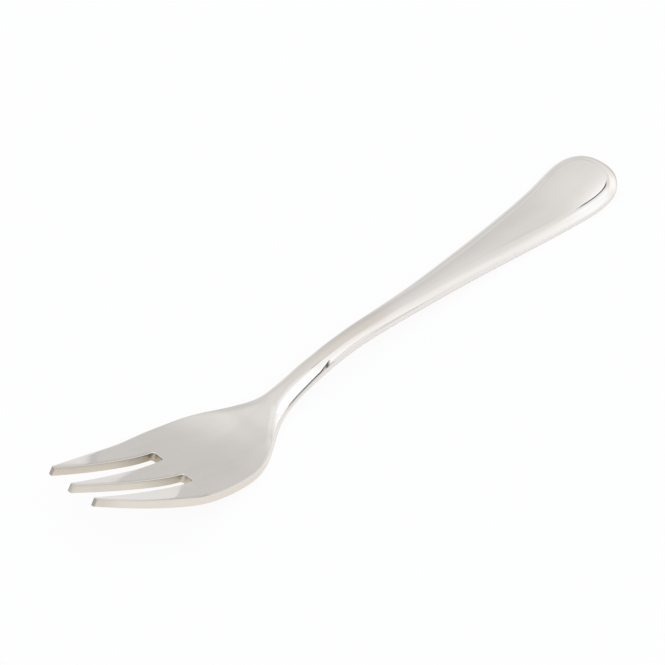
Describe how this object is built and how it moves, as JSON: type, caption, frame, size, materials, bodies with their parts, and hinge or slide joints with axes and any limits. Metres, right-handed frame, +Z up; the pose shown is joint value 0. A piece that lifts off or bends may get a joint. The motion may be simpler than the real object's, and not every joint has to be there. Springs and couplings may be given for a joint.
{
  "type": "pastry fork",
  "caption": "Small table fork pressed in one piece from polished stainless sheet, with a pear-shaped handle, a slim arched neck and a shallow head of tapered, upswept tines.",
  "frame": {"origin": "on the table under the middle of the fork's bounding box, in the middle plane", "axes": "+X along the fork towards the handle's end, with the tine tips towards -X; +Y across; +Z up out of the head's hollow"},
  "size_m": [0.15, 0.0218, 0.0201],
  "materials": {
    "polished_steel": "mirror-polished stainless faces with fine wiping scratches, and satin, faintly warm edge and slot walls"
  },
  "bodies": {
    "root": {"fork": "polished_steel"}
  },
  "joints": []
}
